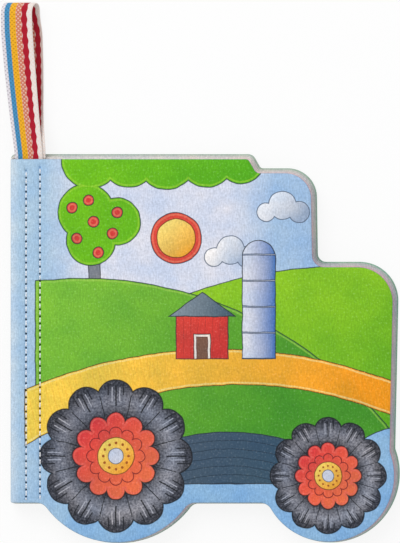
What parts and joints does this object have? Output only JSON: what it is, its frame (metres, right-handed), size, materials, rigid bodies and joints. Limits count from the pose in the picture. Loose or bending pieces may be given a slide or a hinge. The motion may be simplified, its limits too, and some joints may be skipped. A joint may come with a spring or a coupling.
{
  "type": "soft cloth book",
  "caption": "Soft padded cloth book cut to a vehicle outline, with a stitched spine, opening covers and a woven ribbon loop at the top of the spine.",
  "frame": {"origin": "under the middle of the book's box, ribbon loop included, on the face it lies on", "axes": "+X from the spine to the fore edge, +Y up the page towards the ribbon loop, +Z out of the front cover, so the closed book lies on its back cover"},
  "size_m": [0.169, 0.2294, 0.0111],
  "materials": {
    "page_cloth": "soft padded cloth",
    "spine_cloth": "printed satin cloth, pale blue",
    "front_print": "printed satin cloth, fields of green, red, yellow, slate and blue",
    "back_print": "printed satin cloth, plain green",
    "thread": "white sewing thread",
    "ribbon": "woven ribbon striped white, blue, yellow, salmon and crimson"
  },
  "bodies": {
    "sewn_block": {"pages": "page_cloth", "front_spine_strip": "spine_cloth", "back_spine_strip": "spine_cloth", "seam_outer": "thread", "seam_inner": "thread", "ribbon_loop": "ribbon"},
    "opening_front": {"front_cover": "front_print"},
    "opening_back": {"back_cover": "back_print"}
  },
  "joints": [
    {"name": "front_fold", "type": "hinge", "parent": "sewn_block", "child": "opening_front", "pos_m": [-0.0654, 0.024, 0.0111], "axis": [0, -1, 0], "range_deg": [0, 180]},
    {"name": "back_fold", "type": "hinge", "parent": "sewn_block", "child": "opening_back", "pos_m": [-0.0654, 0.024, -0.0003], "axis": [0, 1, 0], "range_deg": [0, 180]}
  ]
}
